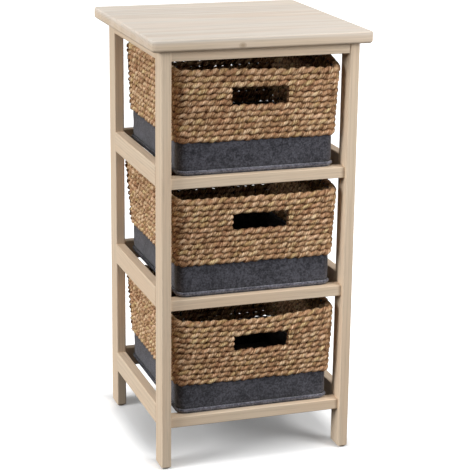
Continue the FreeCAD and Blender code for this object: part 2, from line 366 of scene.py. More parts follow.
class Look:
    """A material's node tree, put together node by node."""

    def __init__(self, name):
        self.material = bpy.data.materials.new(name)
        self.material.use_nodes = True
        self.tree = self.material.node_tree
        self.shader = self.tree.nodes["Principled BSDF"]

    def feed(self, socket, value):
        """Link a socket to another, or set its value."""
        if isinstance(value, bpy.types.NodeSocket):
            self.tree.links.new(value, socket)
        else:
            socket.default_value = value

    def add(self, kind, inputs, output=0, **settings):
        """Add a node, set it up and return one of its outputs."""
        made = self.tree.nodes.new(kind)
        for name, value in settings.items():
            setattr(made, name, value)
        for key, value in inputs.items():
            self.feed(made.inputs[key], value)
        return made.outputs[output]

    def place(self):
        """Object coordinates, which are the part's own frame."""
        return self.add("ShaderNodeTexCoord", {}, "Object")

    def math(self, operation, first, second=0.0, third=0.0):
        """One step of arithmetic."""
        return self.add("ShaderNodeMath", {0: first, 1: second, 2: third}, operation=operation)

    def vector(self, operation, first, second, output="Vector"):
        """One step of vector arithmetic."""
        return self.add("ShaderNodeVectorMath", {0: first, 1: second}, output, operation=operation)

    def split(self, vector):
        """The three numbers of a vector."""
        return self.add("ShaderNodeSeparateXYZ", {0: vector}).node.outputs

    def join(self, x, y, z):
        """A vector of three numbers."""
        return self.add("ShaderNodeCombineXYZ", {0: x, 1: y, 2: z})

    def stretch(self, numbers, factors):
        """A vector of three numbers, each times its own factor."""
        return self.join(*(self.math("MULTIPLY", *pair) for pair in zip(numbers, factors)))

    def weigh(self, *pairs):
        """The sum of some values, each times its weight."""
        total = 0.0
        for value, weight in pairs:
            total = self.math("MULTIPLY_ADD", value, weight, total)
        return total

    def noise(self, vector, scale=1.0, detail=2.0, roughness=0.5):
        """A noise value between zero and one."""
        return self.add("ShaderNodeTexNoise",
                        {"Vector": vector, "Scale": scale, "Detail": detail, "Roughness": roughness})

    def ramp(self, value, stops, interpolation="EASE"):
        """A colour ramp; each stop is a position and a colour or a grey."""
        made = self.tree.nodes.new("ShaderNodeValToRGB")
        made.color_ramp.interpolation = interpolation
        elements = made.color_ramp.elements
        while len(elements) < len(stops):
            elements.new(1.0)
        for element, (position, colour) in zip(elements, stops):
            element.position = position
            grey = isinstance(colour, (int, float))
            element.color = (colour,) * 3 + (1,) if grey else (*colour, 1)
        self.tree.links.new(value, made.inputs[0])
        return made.outputs["Color"]

    def blend(self, factor, first, second, mode="MIX"):
        """Two colours mixed by a factor."""
        inputs = {0: factor}
        for key, value in ((6, first), (7, second)):
            inputs[key] = value if isinstance(value, bpy.types.NodeSocket) else (*value, 1)
        return self.add("ShaderNodeMix", inputs, 2, data_type="RGBA", blend_type=mode)

    def times(self, colour, shade):
        """A colour times a shade."""
        return self.blend(1.0, colour, shade, "MULTIPLY")

    def bump(self, height, distance, strength=1.0):
        """Feed a height map to the shader's normal."""
        normal = self.add("ShaderNodeBump", {"Height": height, "Distance": distance, "Strength": strength})
        self.tree.links.new(normal, self.shader.inputs["Normal"])

    def finish(self, colour, roughness, **sockets):
        """Set the shader's colour, roughness and other sockets."""
        self.feed(self.shader.inputs["Base Color"], colour)
        self.feed(self.shader.inputs["Roughness"], roughness)
        for name, value in sockets.items():
            self.feed(self.shader.inputs[name.replace("_", " ")], value)
        return self.material


def set_material(piece, material):
    """Give a piece one material all over."""
    piece.data.materials.clear()
    piece.data.materials.append(material)


def smooth_and_paint(piece, material):
    """Shade a piece smoothly and give it one material."""
    activate(piece)
    bpy.ops.object.shade_smooth()
    set_material(piece, material)


def metal_finish(name, scale, depth, colours, roughness, metallic):
    """Metal with a fine grain in its plating or paint."""
    look = Look(name)
    grain = look.noise(look.place(), scale=scale, detail=3)
    look.bump(grain, depth)
    return look.finish(look.ramp(grain, colours), look.ramp(grain, roughness), Metallic=metallic)


# Wood

# Turns that bring the grain of a piece along X, Y or Z to the texture's X, and how far it may run askew
GRAIN_TURNS = ((0, 0, 0), (0, 0, -math.pi / 2), (0, math.pi / 2, 0))
GRAIN_SKEW = 0.02

# Where the heart of a piece's tree may lie, along the grain and to two sides of it
HEART_ALONG = (-1, 1)
HEART_ASIDE = (0.03, 0.09)
HEART_BELOW = (0.03, 0.08)

# How quickly slow waves and fine fibres change along the grain and to two sides of it
SLOW_GRAIN = (1.6, 16, 16)
FINE_GRAIN = (12, 520, 520)
PATCH_SCALE = 2.3

# How many rings the slow waves shift a growth ring by, and the shade through one ring
RING_WAVE = 2.4
RING_SHADES = ((0.0, 0.0), (0.5, 0.12), (0.86, 0.75), (1.0, 0.0))

# How strongly the rings show in a patch, as a factor and a least share
RING_STRENGTH = (0.9, 0.05)

# Tone and tint of a piece's warm patches, and where they show
TONES = (0.95, 1.03)
WARM_TINT = (1.0, 0.93, 0.88)
WARM_PATCHES = ((0.35, 0.0), (0.7, 0.6))

# Shade and roughness of the fine fibres, how much the rings count in the relief, and its depth
FIBRE_SHADES = ((0.25, 0.84), (0.5, 0.99), (0.75, 1.05))
FIBRE_ROUGHNESS = ((0.2, 0.85), (0.8, 0.70))
RING_RELIEF = 0.6
GRAIN_DEPTH = 0.00018

# Staves of the top board: shift of the grain from one to the next, the line between two, and their tones
STAVE_SHIFT = (1.0, 0.20, 0.05)
STAVE_LINE = ((0.0, 0.80), (0.008, 1.0))
STAVE_TONES = ((0.0, 0.93), (1.0, 1.02))

# Painted light: the top board is painted pale towards its upper face, by height in its thickness, and keeps
# the plain wood colour lower down its edges
PAINTED_TOP_LIGHT = ((0.45, 0.0), (0.95, 1.0))

# A small knot on the front edge of the top board
KNOT_X = -0.0356
KNOT_HEIGHT = 0.0056
KNOT_RADIUS = 0.0075
KNOT_SQUEEZE = (0.75, 0.4, 1.0)
KNOT_RAGGEDNESS = 0.5
KNOT_SHADES = ((0.40, 0.58), (0.80, 0.30), (1.0, 0.0))

# Dark wood of a dowel, as a share of its pale wood
DOWEL_LATE_SHARE = 0.7

# Zinc on the screws: colours and roughness by its scratches
SCRATCH_SCALE = 900
SCRATCH_DEPTH = 0.00005
ZINC_COLOURS = ((0.3, (0.50, 0.48, 0.42)), (0.7, (0.66, 0.64, 0.58)))
ZINC_ROUGHNESS = ((0.3, 0.28), (0.7, 0.45))


def grain_axis(node):
    """The axis that a piece's grain follows: its longest side, and from side to side in the top board."""
    if node == "top_board":
        return 0
    low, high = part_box(node)
    sides = high - low
    return max(range(3), key=lambda axis: sides[axis])


def wood_finish(name, axis, early, late, is_top=False):
    """Sawn wood: growth rings round a distant heart, fine fibres and soft patches of tone."""
    wood = bpy.context.scene.basket_unit.wood
    dice = random.Random(name)
    look = Look(name)
    place = look.place()
    tilt = [turn + dice.uniform(-GRAIN_SKEW, GRAIN_SKEW) for turn in GRAIN_TURNS[axis]]
    heart = (dice.uniform(*HEART_ALONG), dice.choice((-1, 1)) * dice.uniform(*HEART_ASIDE),
             dice.uniform(*HEART_BELOW))
    grain = look.add("ShaderNodeMapping", {"Vector": place, "Rotation": tilt, "Location": heart})
    tone = dice.uniform(*TONES)
    if is_top:
        stave = look.math("DIVIDE", look.split(place)[1], wood.stave_width)
        chance = look.add("ShaderNodeTexWhiteNoise", {"W": look.math("FLOOR", stave)}, "Color",
                          noise_dimensions="1D")
        grain = look.vector("ADD", grain, look.vector("MULTIPLY", chance, STAVE_SHIFT))
    along, across, depth = look.split(grain)
    slow = look.stretch((along, across, depth), SLOW_GRAIN)
    fine = look.stretch((along, across, depth), FINE_GRAIN)
    wave = look.noise(slow, detail=3)
    patch = look.noise(slow, scale=PATCH_SCALE, detail=2)
    fibre = look.noise(fine, detail=3, roughness=0.6)
    reach = look.math("SQRT", look.math("ADD", look.math("MULTIPLY", across, across),
                                        look.math("MULTIPLY", depth, depth)))
    count = look.math("MULTIPLY_ADD", wave, RING_WAVE, look.math("DIVIDE", reach, wood.ring_spacing))
    ring = look.ramp(look.math("FRACT", count), RING_SHADES)
    strength = look.math("MULTIPLY", ring, look.math("MULTIPLY_ADD", patch, *RING_STRENGTH))
    # The top board gets painted light, paler towards its upper face
    colour = look.blend(strength, paint_top_light(look, place, early) if is_top else early, late)
    warm = [share * tone * tint for share, tint in zip(early, WARM_TINT)]
    colour = look.blend(look.ramp(patch, WARM_PATCHES), colour, warm)
    colour = look.times(colour, look.ramp(fibre, FIBRE_SHADES))
    if is_top:
        share = look.math("FRACT", stave)
        edge = look.math("MINIMUM", share, look.math("SUBTRACT", 1.0, share))
        colour = look.times(colour, look.ramp(edge, STAVE_LINE, "LINEAR"))
        colour = look.times(colour, look.ramp(chance.node.outputs["Value"], STAVE_TONES, "LINEAR"))
        colour = look.blend(knot_shade(look, place, wave), colour, wood.knot_colour)
    look.bump(look.math("ADD", fibre, look.math("MULTIPLY", ring, RING_RELIEF)), GRAIN_DEPTH, strength=0.5)
    return look.finish(colour, look.ramp(fibre, FIBRE_ROUGHNESS), Specular_IOR_Level=0.12)


def paint_top_light(look, place, pale):
    """The top board's early wood, painted pale at its upper face and plain below, as painted light."""
    bottom, face = (corner.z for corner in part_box("top_board"))
    rise = look.math("DIVIDE", look.math("SUBTRACT", look.split(place)[2], bottom), face - bottom)
    plain = tuple(bpy.context.scene.basket_unit.wood.early_colour)
    return look.blend(look.ramp(rise, PAINTED_TOP_LIGHT), plain, pale)


def knot_shade(look, place, wave):
    """How far the top board's knot shows, with an edge that the slow waves make ragged."""
    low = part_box("top_board")[0]
    centre = (KNOT_X, low.y, low.z + KNOT_HEIGHT)
    apart = look.vector("MULTIPLY", look.vector("SUBTRACT", place, centre), KNOT_SQUEEZE)
    reach = look.math("DIVIDE", look.vector("LENGTH", apart, (0, 0, 0), "Value"), KNOT_RADIUS)
    return look.ramp(look.math("MULTIPLY_ADD", wave, KNOT_RAGGEDNESS, reach), KNOT_SHADES)


class BASKETUNIT_OT_finish_wood(bpy.types.Operator):
    """Give every wooden piece of the stand a grain of its own"""

    bl_idname = "basket_unit.finish_wood"
    bl_label = "Finish Wood"

    def execute(self, context):
        wood = context.scene.basket_unit.wood
        late = tuple(wood.late_colour)
        for node in WOODEN_NODES:
            is_top = node == "top_board"
            early = tuple(wood.painted_top_colour if is_top else wood.early_colour)
            name = "wood " + node.replace("_", " ")
            set_material(frame["nodes"][node], wood_finish(name, grain_axis(node), early, late, is_top))
        return {"FINISHED"}


class BASKETUNIT_OT_finish_fixings(bpy.types.Operator):
    """Finish the dowels and the screws that hold the stand together"""

    bl_idname = "basket_unit.finish_fixings"
    bl_label = "Finish Fixings"

    def execute(self, context):
        early = tuple(context.scene.basket_unit.wood.dowel_colour)
        late = tuple(share * DOWEL_LATE_SHARE for share in early)
        set_material(frame["nodes"]["rail_dowels"], wood_finish("dowel across", 0, early, late))
        set_material(frame["nodes"]["runner_dowels"], wood_finish("dowel along", 1, early, late))
        zinc = metal_finish("zinc plated screw", SCRATCH_SCALE, SCRATCH_DEPTH,
                            ZINC_COLOURS, ZINC_ROUGHNESS, metallic=1.0)
        set_material(frame["nodes"]["top_screws"], zinc)
        return {"FINISHED"}


# Baskets

# How far the rim stands above or below its drawn height at the front left, front middle and front right
RIM_SETTLING = {
    "lower": (-0.0040, -0.0114, -0.0032),
    "middle": (-0.0032, -0.0056, -0.0046),
    "upper": (0.0036, -0.0008, -0.0042),
}

# How far the rim rises half way along the right side
SIDE_RISE = {"lower": 0.0040, "middle": 0.0085, "upper": 0.0140}

# How far the rim leans out at the back left
LEFT_LEAN = {"lower": 0.0026, "middle": 0.0042, "upper": 0.0}

# How far the lowest row stands above or below its drawn height at the front
FOOT_SETTLING = {"lower": -0.0032, "middle": 0.0, "upper": 0.0}


class Basket:
    """Places of one basket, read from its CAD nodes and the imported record."""

    def __init__(self, level):
        rope = bpy.context.scene.basket_unit.rope
        self.level = level
        self.body = level + "_basket"
        weave_low, weave_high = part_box(self.body + "_weave")
        self.felt_low, self.felt_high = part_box(self.body + "_felt_band")
        self.floor = self.felt_low.z
        self.felt_top = weave_low.z
        self.rim = weave_high.z
        self.row_height = (self.rim - self.felt_top) / rope.rows
        half_wall = rope.wall_thickness / 2
        reach = rope.shoulder - half_wall
        self.foot_line = (self.felt_high.x + reach, self.felt_low.y - reach, self.felt_high.y + reach)
        self.rim_line = (weave_high.x - half_wall, weave_low.y + half_wall, weave_high.y - half_wall)
        self.hole_middle = 0.0
        for opening in frame["record"]["physics"]["openings"]:
            if opening["name"] == self.body + "_hand_hole":
                low, high = opening["box_m"]
                self.hole_middle = (low[0] + high[0]) / 2

    def row_line(self, row):
        """Half width, front, back and height of the middle of a rope row."""
        rope = bpy.context.scene.basket_unit.rope
        share = (row + 0.5) / rope.rows
        half_width, front, back = (
            foot + (rim - foot) * share for foot, rim in zip(self.foot_line, self.rim_line))
        return half_width, front, back, self.felt_top + (row + 0.5) * self.row_height

    def settle(self, points):
        """Let the rope and its wires sag at the front, rise at the right and lean out at the back left."""
        left, middle, right = RIM_SETTLING[self.level]
        half_width, front, back = self.rim_line
        felt_share = np.clip((points[:, 2] - self.floor) / (self.felt_top - self.floor), 0, 1)
        rise = np.clip((points[:, 2] - self.felt_top) / (self.rim - self.felt_top), 0, 1)
        width_share = np.clip((points[:, 0] + half_width) / (2 * half_width), 0, 1)
        depth_share = np.clip((points[:, 1] - front) / (back - front), 0, 1)
        bow = 4 * width_share * (1 - width_share)
        foot_fall = FOOT_SETTLING[self.level] * felt_share
        front_fall = left + (right - left) * width_share + (middle - (left + right) / 2) * bow
        half_way = 1 - (2 * depth_share - 1) ** 4
        side_rise = SIDE_RISE[self.level] * half_way * width_share ** 2 * (1 - bow)
        settled = points.copy()
        settled[:, 2] += (1 - depth_share) * (foot_fall + rise * (front_fall - foot_fall)) + rise * side_rise
        settled[:, 0] -= LEFT_LEAN[self.level] * rise * depth_share * (1 - width_share)
        return settled


# Rope

# Points round one ply, steps in one turn of the rope, and steps round a turned end
PLY_SIDES = 10
STEPS_PER_TURN = 10
END_STEPS = 6

# Every other point round a ply stands this share of its radius out, so the leaf in it looks pleated
PLEAT_SHARE = 0.86

# Points within the first share of a ply lie at one place along the rope, and within the second are one point
SAME_PLACE_SHARE = 0.01
SAME_POINT_SHARE = 0.001

# A quarter circle drawn with one Bezier span has handles of this share of its radius
ARC_HANDLE_SHARE = 0.5523
PATH_RESOLUTION = 24

# Each row starts this share of a half turn on from the row under it, give or take the jitter
ROW_DRIFT_SHARE = 0.34
ROW_JITTER_SHARE = 0.10
ROW_THICKNESS_SHARES = (0.95, 1.06)

# Waves of bunching round a basket, of which each row has a few
BUNCH_WAVES = range(2, 14)
BUNCH_COUNT = 4

# Size of the lumps in the plies and of the bends in a row, each with the noise level that moves nothing
LUMP_SIZE = 0.011
LUMP_LEVEL = 0.38
WANDER_SIZE = 0.038
WANDER_LEVEL = 0.5

# How quickly a leaf's shade and hue change along a ply, from ply to ply and round it
LEAF_STRETCH = (1.1, 5.3, 1.2)
HUE_STRETCH = (0.8, 9.7, 0.6)

# How quickly streaks and fibres change along a ply, across their slant and from ply to ply
STREAK_SLANT = 1.5
STREAK_STRETCH = (2.5, 6.0, 6.1)
FIBRE_STRETCH = (4.0, 18.0, 3.7)

# How much leaves, streaks and fibres count in the shade, and the shades of the three colours
LEAF_WEIGHT = 0.42
STREAK_WEIGHT = 0.55
FIBRE_WEIGHT = 0.28
DARK_SHADE = 0.47
WARM_SHADE = 0.60
PALE_SHADE = 0.75

# Leaves dry to slightly different hues: rosy, plain and greenish
LEAF_TINTS = ((0.32, (1.02, 0.94, 0.93)), (0.50, (1.0, 1.0, 1.0)), (0.68, (0.96, 1.0, 0.84)))

# Painted shade: the rope is painted darker in the gaps between rows, by how far a point stands out
PAINTED_GAP_SHADE = ((0.10, (0.28, 0.20, 0.165)), (0.50, (0.75, 0.68, 0.64)), (0.80, (1.0, 1.0, 1.0)))
ROPE_ROUGHNESS = ((0.3, 0.75), (0.75, 0.55))
FIBRE_DEPTH = 0.0012


def turn_length():
    """Length of rope that one turn of its plies takes up."""
    return math.pi * bpy.context.scene.basket_unit.rope.diameter


def straight_rope(half_turns, turned_ends):
    """Two plies twisted along X, with a UV map that follows each ply.

    Turned ends join the two plies with a half ring, as where rope goes back round its last upright.
    """
    rope = bpy.context.scene.basket_unit.rope
    offset = (rope.diameter - rope.ply_diameter) / 2
    circle = {"vertices": PLY_SIDES, "radius": rope.ply_diameter / 2, "rotation": (0, math.pi / 2, 0)}
    deselect_all()
    bpy.ops.mesh.primitive_circle_add(location=(0, offset, 0), **circle)
    strand = bpy.context.object
    strand.name = "straight rope"
    bpy.ops.object.transform_apply()
    bpy.ops.object.mode_set(mode="EDIT")
    bpy.ops.mesh.primitive_circle_add(location=(0, -offset, 0), **circle)
    bpy.ops.object.mode_set(mode="OBJECT")
    for vertex in strand.data.vertices:
        middle = Vector((0, offset if ply_of(vertex.index) == 0 else -offset, 0))
        if vertex.index % 2:
            vertex.co = middle.lerp(vertex.co, PLEAT_SHARE)
    steps = half_turns * STEPS_PER_TURN // 2
    length = half_turns * turn_length() / 2
    apply_modifier(strand, "SCREW", axis="X", angle=-math.pi * half_turns, screw_offset=length,
                   steps=steps, render_steps=steps, iterations=1, use_smooth_shade=True)
    if turned_ends:
        turn_end(strand, 0.0, way=1)
        turn_end(strand, length, way=-1)
    map_plies(strand.data, length)
    return strand


def turn_end(strand, end_x, way):
    """Spin the end of one ply round into the end of the other."""
    activate(strand)
    bpy.ops.object.mode_set(mode="EDIT")
    bpy.ops.mesh.select_all(action="DESELECT")
    bpy.ops.object.mode_set(mode="OBJECT")
    near = bpy.context.scene.basket_unit.rope.ply_diameter * SAME_PLACE_SHARE
    for vertex in strand.data.vertices:
        at_end = abs(vertex.co.x - end_x) < near
        vertex.select = at_end and ply_of(vertex.index) == 0
    bpy.ops.object.mode_set(mode="EDIT")
    bpy.ops.mesh.select_mode(type="VERT")
    bpy.ops.mesh.spin(steps=END_STEPS, angle=way * math.pi, center=(end_x, 0, 0), axis=(0, 0, 1))
    bpy.ops.object.mode_set(mode="OBJECT")


def ply_of(index):
    """Which ply a point of the twisted strand belongs to, by the order that Screw gives."""
    return index % (2 * PLY_SIDES) // PLY_SIDES


def map_plies(mesh, length):
    """UV map: along the rope in turns, and round each ply, with a whole number for each ply."""
    lay = turn_length()
    layer = mesh.uv_layers.new(name="Ply")
    twisted = 2 * PLY_SIDES * (round(length / lay * STEPS_PER_TURN) + 1)
    for face in mesh.polygons:
        sides = [index % PLY_SIDES for index in face.vertices]
        wraps = 0 in sides and PLY_SIDES - 1 in sides
        for loop_index, index, side in zip(face.loop_indices, face.vertices, sides):
            place = mesh.vertices[index].co
            around = (PLY_SIDES if wraps and side == 0 else side) / PLY_SIDES
            ply = ply_of(index) if index < twisted else 0
            layer.data[loop_index].uv = (place.x / lay, ply + around)


def row_stops(half_width, front, back, radius):
    """The ends of the four corner arcs, anticlockwise from the front right, with the arcs' handles."""
    inset = radius * (1 - ARC_HANDLE_SHARE)
    stops = []
    for corner, way_in, way_out in (
            ((half_width, front), (1, 0), (0, 1)),
            ((half_width, back), (0, 1), (-1, 0)),
            ((-half_width, back), (-1, 0), (0, -1)),
            ((-half_width, front), (0, -1), (1, 0))):
        corner, way_in, way_out = Vector(corner), Vector(way_in), Vector(way_out)
        stops.append((corner - way_in * radius, None, corner - way_in * inset))
        stops.append((corner + way_out * radius, corner + way_out * inset, None))
    return stops


def row_path(stops, height, closed):
    """A level curve through the stops, which a straight rope is then bent along."""
    curve = bpy.data.curves.new("row path", "CURVE")
    curve.dimensions = "3D"
    curve.twist_mode = "Z_UP"
    curve.use_stretch = True
    curve.use_deform_bounds = True
    curve.resolution_u = PATH_RESOLUTION
    spline = curve.splines.new("BEZIER")
    spline.bezier_points.add(len(stops) - 1)
    spline.use_cyclic_u = closed
    for point, (place, before, after) in zip(spline.bezier_points, stops):
        point.co = (*place, height)
        point.handle_left_type = "FREE" if before else "VECTOR"
        point.handle_right_type = "FREE" if after else "VECTOR"
        point.handle_left = (*(before or place), height)
        point.handle_right = (*(after or place), height)
    path = bpy.data.objects.new("row path", curve)
    bpy.context.scene.collection.objects.link(path)
    return path


def weave_row(basket, row, closed_rope, open_rope, dice):
    """One rope row round the basket, open at the hand hole where it meets that."""
    rope = bpy.context.scene.basket_unit.rope
    half_width, front, back, height = basket.row_line(row)
    stops = row_stops(half_width, front, back, rope.corner_radius)
    at_hole = 0 <= row - rope.hand_hole_row < rope.hand_hole_rows
    if at_hole:
        half_hole = rope.hand_hole_width / 2
        start = Vector((basket.hole_middle + half_hole, front))
        end = Vector((basket.hole_middle - half_hole, front))
        stops = [(start, None, None), *stops, (end, None, None)]
    else:
        half = len(stops) // 2
        stops = [(Vector((0, back)), None, None), *stops[half:], *stops[:half]]
    piece = copy_piece(open_rope if at_hole else closed_rope, "rope row")
    if not at_hole:
        turn = math.pi * (ROW_DRIFT_SHARE * row + dice.uniform(-1, 1) * ROW_JITTER_SHARE)
        piece.data.transform(Matrix.Rotation(turn, 4, "X"))
    for corner in piece.data.uv_layers["Ply"].data:
        corner.uv.y += 2 * row
    thickness = dice.uniform(*ROW_THICKNESS_SHARES)
    piece.data.transform(Matrix.Diagonal((1, thickness, thickness, 1)))
    note_crests(piece.data, is_rim=row == rope.rows - 1)
    bunch_turns(piece, dice)
    path = row_path(stops, height, closed=not at_hole)
    apply_modifier(piece, "CURVE", object=path, deform_axis="POS_X")
    remove_piece(path)
    return piece


def note_crests(mesh, is_rim):
    """Keep how far each point of a straight row stands out of the wall, for the painted shade in its gaps."""
    reach = bpy.context.scene.basket_unit.rope.diameter / 2
    points = points_of(mesh)
    crests = np.abs(points[:, 1]) / reach
    # The top of the rim counts as standing out, so the painted shade leaves it light
    if is_rim:
        crests = np.maximum(crests, points[:, 2] / reach)
    mesh.attributes.new("Crest", "FLOAT", "POINT").data.foreach_set("value", crests)


def bunch_turns(piece, dice):
    """Slide a straight rope's points along it in waves that fade out at its ends, so that its turns vary."""
    rope = bpy.context.scene.basket_unit.rope
    points = points_of(piece.data)
    start, end = points[:, 0].min(), points[:, 0].max()
    share = (points[:, 0] - start) / (end - start)
    for waves in dice.sample(BUNCH_WAVES, BUNCH_COUNT):
        depth = rope.uneven_twist / BUNCH_COUNT * dice.uniform(-1, 1)
        points[:, 0] += depth * np.sin(2 * math.pi * waves * share)
    set_points(piece.data, points)


def rope_finish():
    """Dry plant fibre: strands of different colours, with fine fibres along each ply, and painted shade in
    the gaps between rows.
    """
    rope = bpy.context.scene.basket_unit.rope
    look = Look("twisted plant fibre rope")
    turns, plies, _ = look.split(look.add("ShaderNodeUVMap", {}, uv_map="Ply"))
    strand = look.math("FLOOR", plies)
    around = look.math("FRACT", plies)
    slant = look.math("MULTIPLY_ADD", turns, STREAK_SLANT, around)
    leaf = look.noise(look.stretch((turns, strand, around), LEAF_STRETCH), detail=2)
    hue = look.noise(look.stretch((turns, strand, around), HUE_STRETCH), detail=1)
    streak = look.noise(look.stretch((turns, slant, strand), STREAK_STRETCH), detail=1)
    fibre = look.noise(look.stretch((turns, slant, strand), FIBRE_STRETCH), detail=3, roughness=0.65)
    shade = look.weigh((leaf, LEAF_WEIGHT), (streak, STREAK_WEIGHT), (fibre, FIBRE_WEIGHT))
    colour = look.ramp(shade, ((DARK_SHADE, tuple(rope.dark_colour)), (WARM_SHADE, tuple(rope.warm_colour)),
                               (PALE_SHADE, tuple(rope.pale_colour))))
    colour = look.times(colour, look.ramp(hue, LEAF_TINTS))
    # Painted shade: darker where a point lies deep in the gaps between the rows
    crest = look.add("ShaderNodeAttribute", {}, "Fac", attribute_name="Crest")
    colour = look.times(colour, look.ramp(crest, PAINTED_GAP_SHADE))
    look.bump(look.math("ADD", fibre, streak), FIBRE_DEPTH, strength=0.9)
    return look.finish(colour, look.ramp(fibre, ROPE_ROUGHNESS), Specular_IOR_Level=0.25)


class BASKETUNIT_OT_weave_rope_walls(bpy.types.Operator):
    """Weave the rope wall of every basket, row by row"""

    bl_idname = "basket_unit.weave_rope_walls"
    bl_label = "Weave Rope Walls"

    def execute(self, context):
        rope = context.scene.basket_unit.rope
        finish = rope_finish()
        lumps = noise_field("rope lumps", LUMP_SIZE)
        wander = noise_field("row wander", WANDER_SIZE, depth=1)
        closed_rope = straight_rope(2 * rope.turns, turned_ends=False)
        hole_share = rope.hand_hole_width / (turn_length() * rope.turns)
        open_rope = straight_rope(2 * rope.turns - round(2 * rope.turns * hole_share), turned_ends=True)
        for basket in map(Basket, LEVELS):
            dice = random.Random(basket.level)
            rows = [weave_row(basket, row, closed_rope, open_rope, dice) for row in range(rope.rows)]
            activate(*rows)
            bpy.ops.object.join()
            wall = rows[0]
            wall.name = wall.data.name = basket.body + "_rope_wall"
            close_and_face_out(wall, rope.ply_diameter * SAME_POINT_SHARE)
            apply_modifier(wall, "DISPLACE", texture=lumps, texture_coords="LOCAL",
                           strength=rope.lump_depth, mid_level=LUMP_LEVEL)
            apply_modifier(wall, "DISPLACE", texture=wander, texture_coords="LOCAL", direction="Z",
                           strength=rope.wander_depth, mid_level=WANDER_LEVEL)
            set_points(wall.data, basket.settle(points_of(wall.data)))
            smooth_and_paint(wall, finish)
            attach(wall, basket.body)
            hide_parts(basket.body + "_weave")
        remove_piece(closed_rope)
        remove_piece(open_rope)
        return {"FINISHED"}


# Wires

# Cuts in each long edge of a wire, so that it can bend
WIRE_CUTS = 6

# Black paint: colours and roughness by its grain
PAINT_SCALE = 700
PAINT_DEPTH = 0.00006
PAINT_COLOURS = ((0.3, (0.018, 0.018, 0.019)), (0.75, (0.045, 0.043, 0.041)))
PAINT_ROUGHNESS = ((0.3, 0.35), (0.7, 0.55))


class BASKETUNIT_OT_bend_wire_frames(bpy.types.Operator):
    """Bend a copy of every wire frame with the rope that sags round it"""

    bl_idname = "basket_unit.bend_wire_frames"
    bl_label = "Bend Wire Frames"

    def execute(self, context):
        finish = metal_finish("black painted wire", PAINT_SCALE, PAINT_DEPTH,
                              PAINT_COLOURS, PAINT_ROUGHNESS, metallic=0.0)
        for basket in map(Basket, LEVELS):
            node = basket.body + "_wire_frame"
            wires = copy_piece(frame["nodes"][node], basket.body + "_bent_wires")
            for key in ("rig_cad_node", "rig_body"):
                del wires[key]
            wires.parent = None
            close_and_face_out(wires, POINT_GAP)
            cut_long_edges(wires, WIRE_CUTS)
            bpy.ops.object.mode_set(mode="OBJECT")
            set_points(wires.data, basket.settle(points_of(wires.data)))
            set_material(wires, finish)
            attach(wires, basket.body)
            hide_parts(node)
        return {"FINISHED"}


# Felt

# Segments round a corner and across a rounded edge, cuts in each long side, and rings up the band
CORNER_SEGMENTS = 8
EDGE_SEGMENTS = 2
SIDE_CUTS = 19
BAND_RINGS = 9

# Rounding of the band over its hem, rounding of cut edges, and the turn in radians that makes an edge sharp
HEM_ROUNDING = 0.0030
EDGE_RADIUS = 0.0008
EDGE_ANGLE = 1.0

# How far the soft foot of the band sinks into the base, so that no light shows under it
FELT_SINK = 0.0014

# Size of the waves in the band, with the noise level that moves nothing
WAVE_SIZE = 0.045
WAVE_LEVEL = 0.62

# Outline of the hem's section, as shares of how far it stands out and of its height
HEM_PROFILE_SHARES = (
    (-1.5, 0.0), (-0.9, 0.10), (0.0, 0.28), (0.75, 0.45),
    (1.0, 0.64), (0.85, 0.84), (0.40, 0.98), (-0.80, 1.0))

# How quickly clouds, mottling, tufts and hairs change in the felt, and how much each counts in its shade
CLOUD_SCALE = 28
CLOUD_WEIGHT = 0.17
MOTTLE_SCALE = 120
MOTTLE_WEIGHT = 0.27
TUFT_SCALE = 330
TUFT_WEIGHT = 0.38
HAIR_SCALE = 900
HAIR_WEIGHT = 0.28
HAIR_SQUEEZE = (1.0, 1.0, 1.7)
FELT_DARK_SHADE = 0.45
FELT_LIGHT_SHADE = 0.68
FELT_DEPTH = 0.0006

# How bright the felt of each piece is; the hem is the same felt painted brighter, a painted highlight for its
# ridge that catches the light
BAND_BRIGHTNESS = 1.0
HEM_PAINTED_HIGHLIGHT = 2.2
BASE_BRIGHTNESS = 0.9


def foot_outline(basket, outset):
    """Centre and size of the felt's outline at the foot of a basket, let out all round."""
    low, high = basket.felt_low, basket.felt_high
    centre = Vector(((low.x + high.x) / 2, (low.y + high.y) / 2))
    return centre, high.x - low.x + 2 * outset, high.y - low.y + 2 * outset


def outline_loop(basket, outset, height):
    """An edge loop in the shape of a basket's foot, from a plane with rounded corners."""
    felt = bpy.context.scene.basket_unit.felt
    centre, width, depth = foot_outline(basket, outset)
    deselect_all()
    bpy.ops.mesh.primitive_plane_add(size=1, location=(centre.x, centre.y, height))
    piece = bpy.context.object
    piece.scale = (width, depth, 1)
    bpy.ops.object.transform_apply()
    edit_all(lambda: bpy.ops.mesh.bevel(offset=felt.corner_radius + outset, segments=CORNER_SEGMENTS,
                                        affect="VERTICES"),
             lambda: bpy.ops.mesh.delete(type="ONLY_FACE"))
    return piece


def raise_rings(piece, basket, rings):
    """Extrude the outline ring by ring; each ring is its outset and height."""
    centre, width, depth = foot_outline(basket, 0.0)
    activate(piece)
    cut_long_edges(piece, SIDE_CUTS)
    bpy.ops.mesh.select_all(action="SELECT")
    (outset, height), *others = rings
    for next_outset, next_height in others:
        bpy.ops.mesh.extrude_edges_move(TRANSFORM_OT_translate={"value": (0, 0, next_height - height)})
        bpy.ops.transform.resize(
            value=((width + 2 * next_outset) / (width + 2 * outset),
                   (depth + 2 * next_outset) / (depth + 2 * outset), 1),
            center_override=(centre.x, centre.y, 0))
        outset, height = next_outset, next_height
    bpy.ops.object.mode_set(mode="OBJECT")


def round_edges(piece):
    """Round the sharp edges of a felt piece."""
    apply_modifier(piece, "BEVEL", width=EDGE_RADIUS, segments=EDGE_SEGMENTS,
                   limit_method="ANGLE", angle_limit=EDGE_ANGLE)


